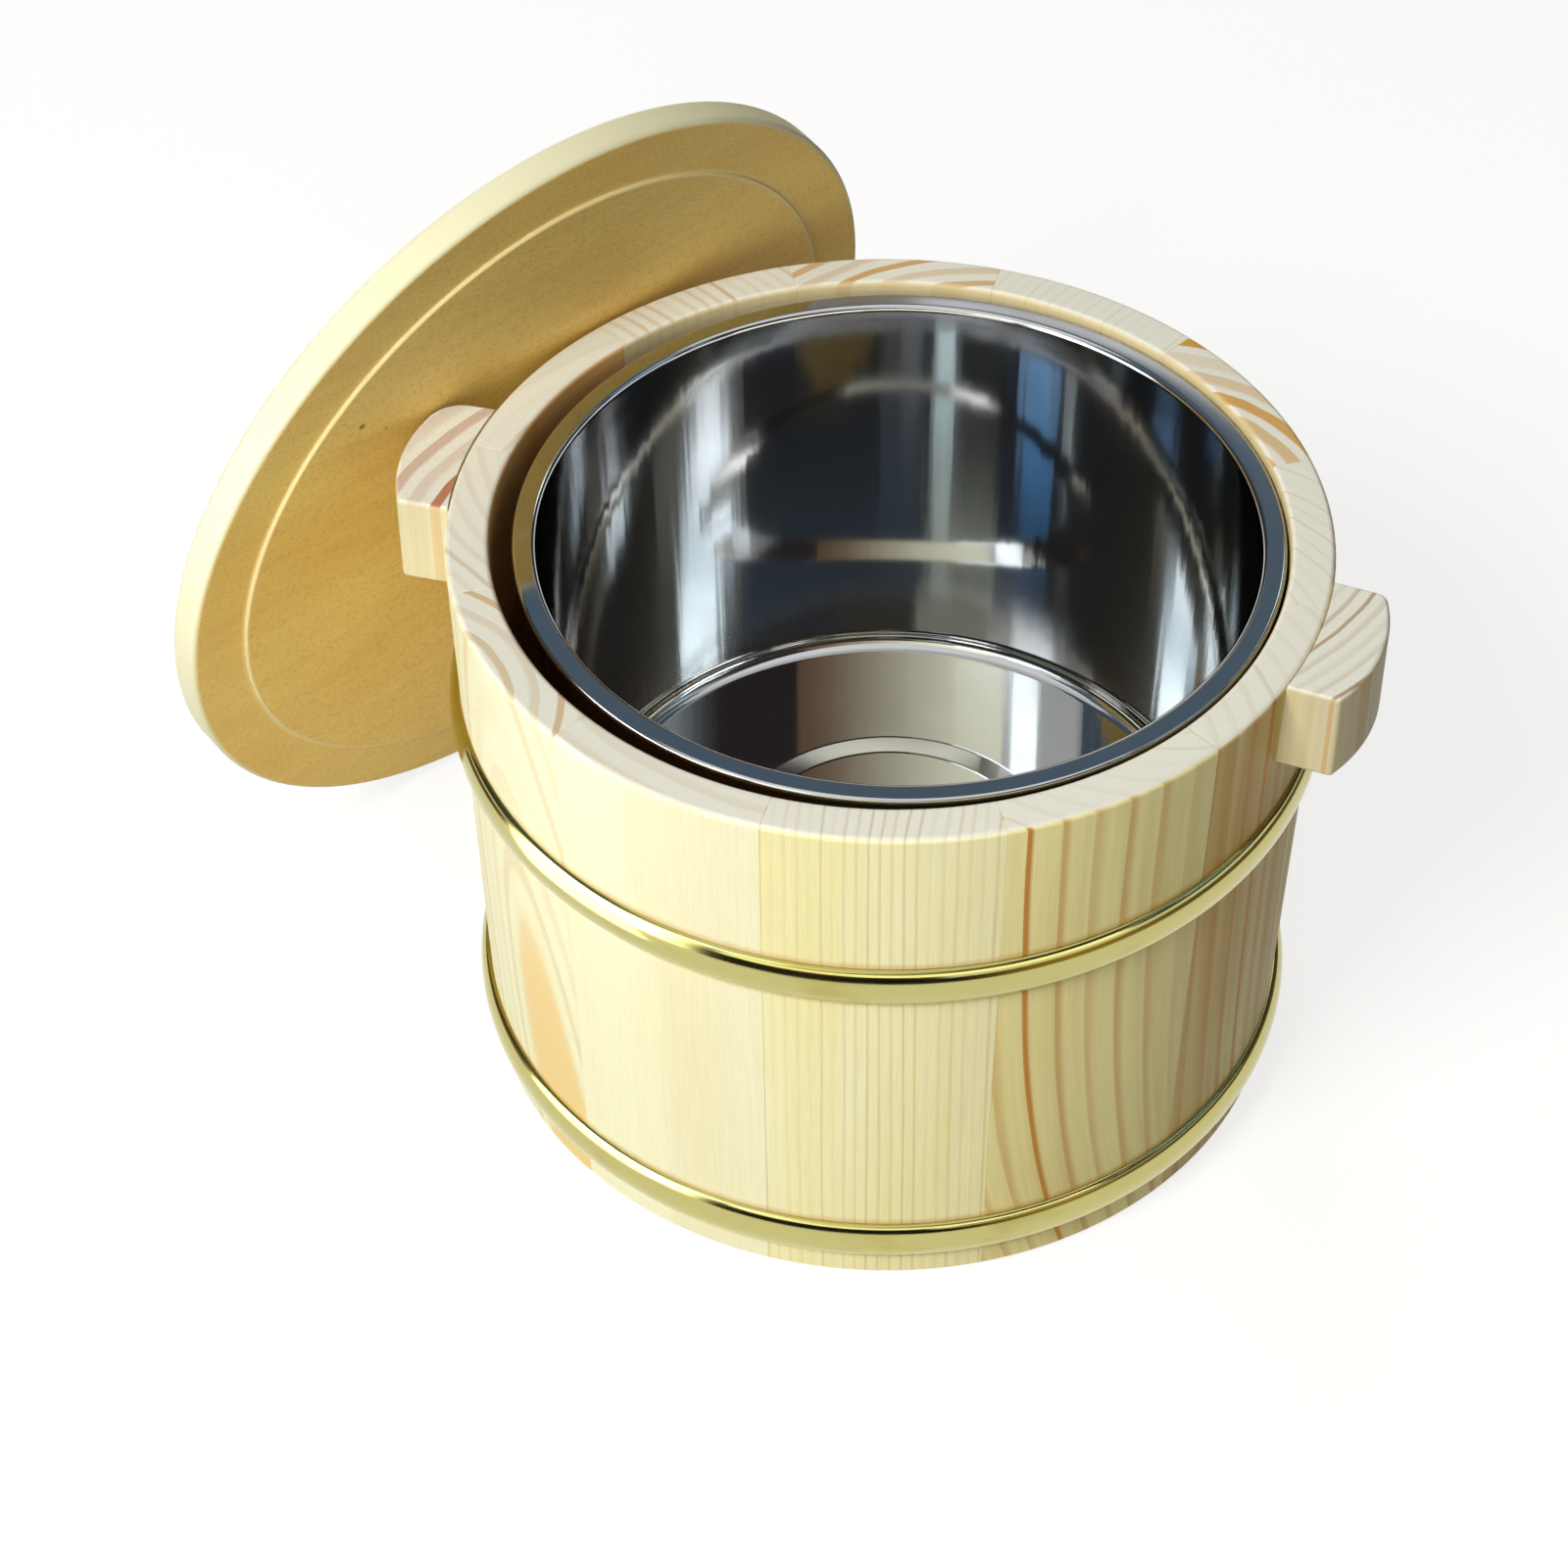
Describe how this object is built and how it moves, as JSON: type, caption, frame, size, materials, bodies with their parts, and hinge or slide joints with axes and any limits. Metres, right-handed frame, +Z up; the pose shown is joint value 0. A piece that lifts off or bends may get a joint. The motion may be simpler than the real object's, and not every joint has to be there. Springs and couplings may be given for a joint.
{
  "type": "coopered rice tub",
  "caption": "Round coopered wooden rice tub with brass hoops, side ears, a loose steel liner and a lift-off lid leaning on its rim.",
  "frame": {"origin": "on the floor, on the tub's axis, in the middle of the ring that the tub stands on", "axes": "+Z up, the ears reach out along +X and -X, -Y is the tub's front"},
  "size_m": [0.2519, 0.2167, 0.1847],
  "materials": {
    "pine_wall": "sanded pale pine, side grain, end grain on the rim",
    "pine_ear": "sanded pale pine, end grain up",
    "pine_lid": "sanded pine board",
    "pine_bottom": "planed pine",
    "peg_wood": "split hardwood",
    "brass_hoop": "polished brass, a little dulled",
    "steel_liner": "polished stainless steel"
  },
  "bodies": {
    "tub": {"stave_01": "pine_wall", "stave_02": "pine_wall", "stave_03": "pine_wall", "stave_04": "pine_wall", "stave_05": "pine_wall", "stave_06": "pine_wall", "stave_07": "pine_wall", "stave_08": "pine_wall", "stave_09": "pine_wall", "stave_10": "pine_wall", "stave_11": "pine_wall", "stave_12": "pine_wall", "stave_pegs": "peg_wood", "bottom_plank_1": "pine_bottom", "bottom_plank_2": "pine_bottom", "bottom_plank_3": "pine_bottom", "bottom_pegs": "peg_wood", "upper_hoop": "brass_hoop", "lower_hoop": "brass_hoop", "right_ear": "pine_ear", "left_ear": "pine_ear", "ear_dowels": "peg_wood"},
    "liner": {"liner": "steel_liner"},
    "lid": {"lid_board": "pine_lid", "lid_handle": "pine_lid", "handle_dowels": "peg_wood"}
  },
  "joints": [
    {"name": "liner_lift", "type": "slide", "parent": "tub", "child": "liner", "axis": [0, 0, 1], "range_m": [0, 0.12]},
    {"name": "lid_lift", "type": "slide", "parent": "tub", "child": "lid", "axis": [0, 0, 1], "range_m": [0, 0.15]}
  ]
}
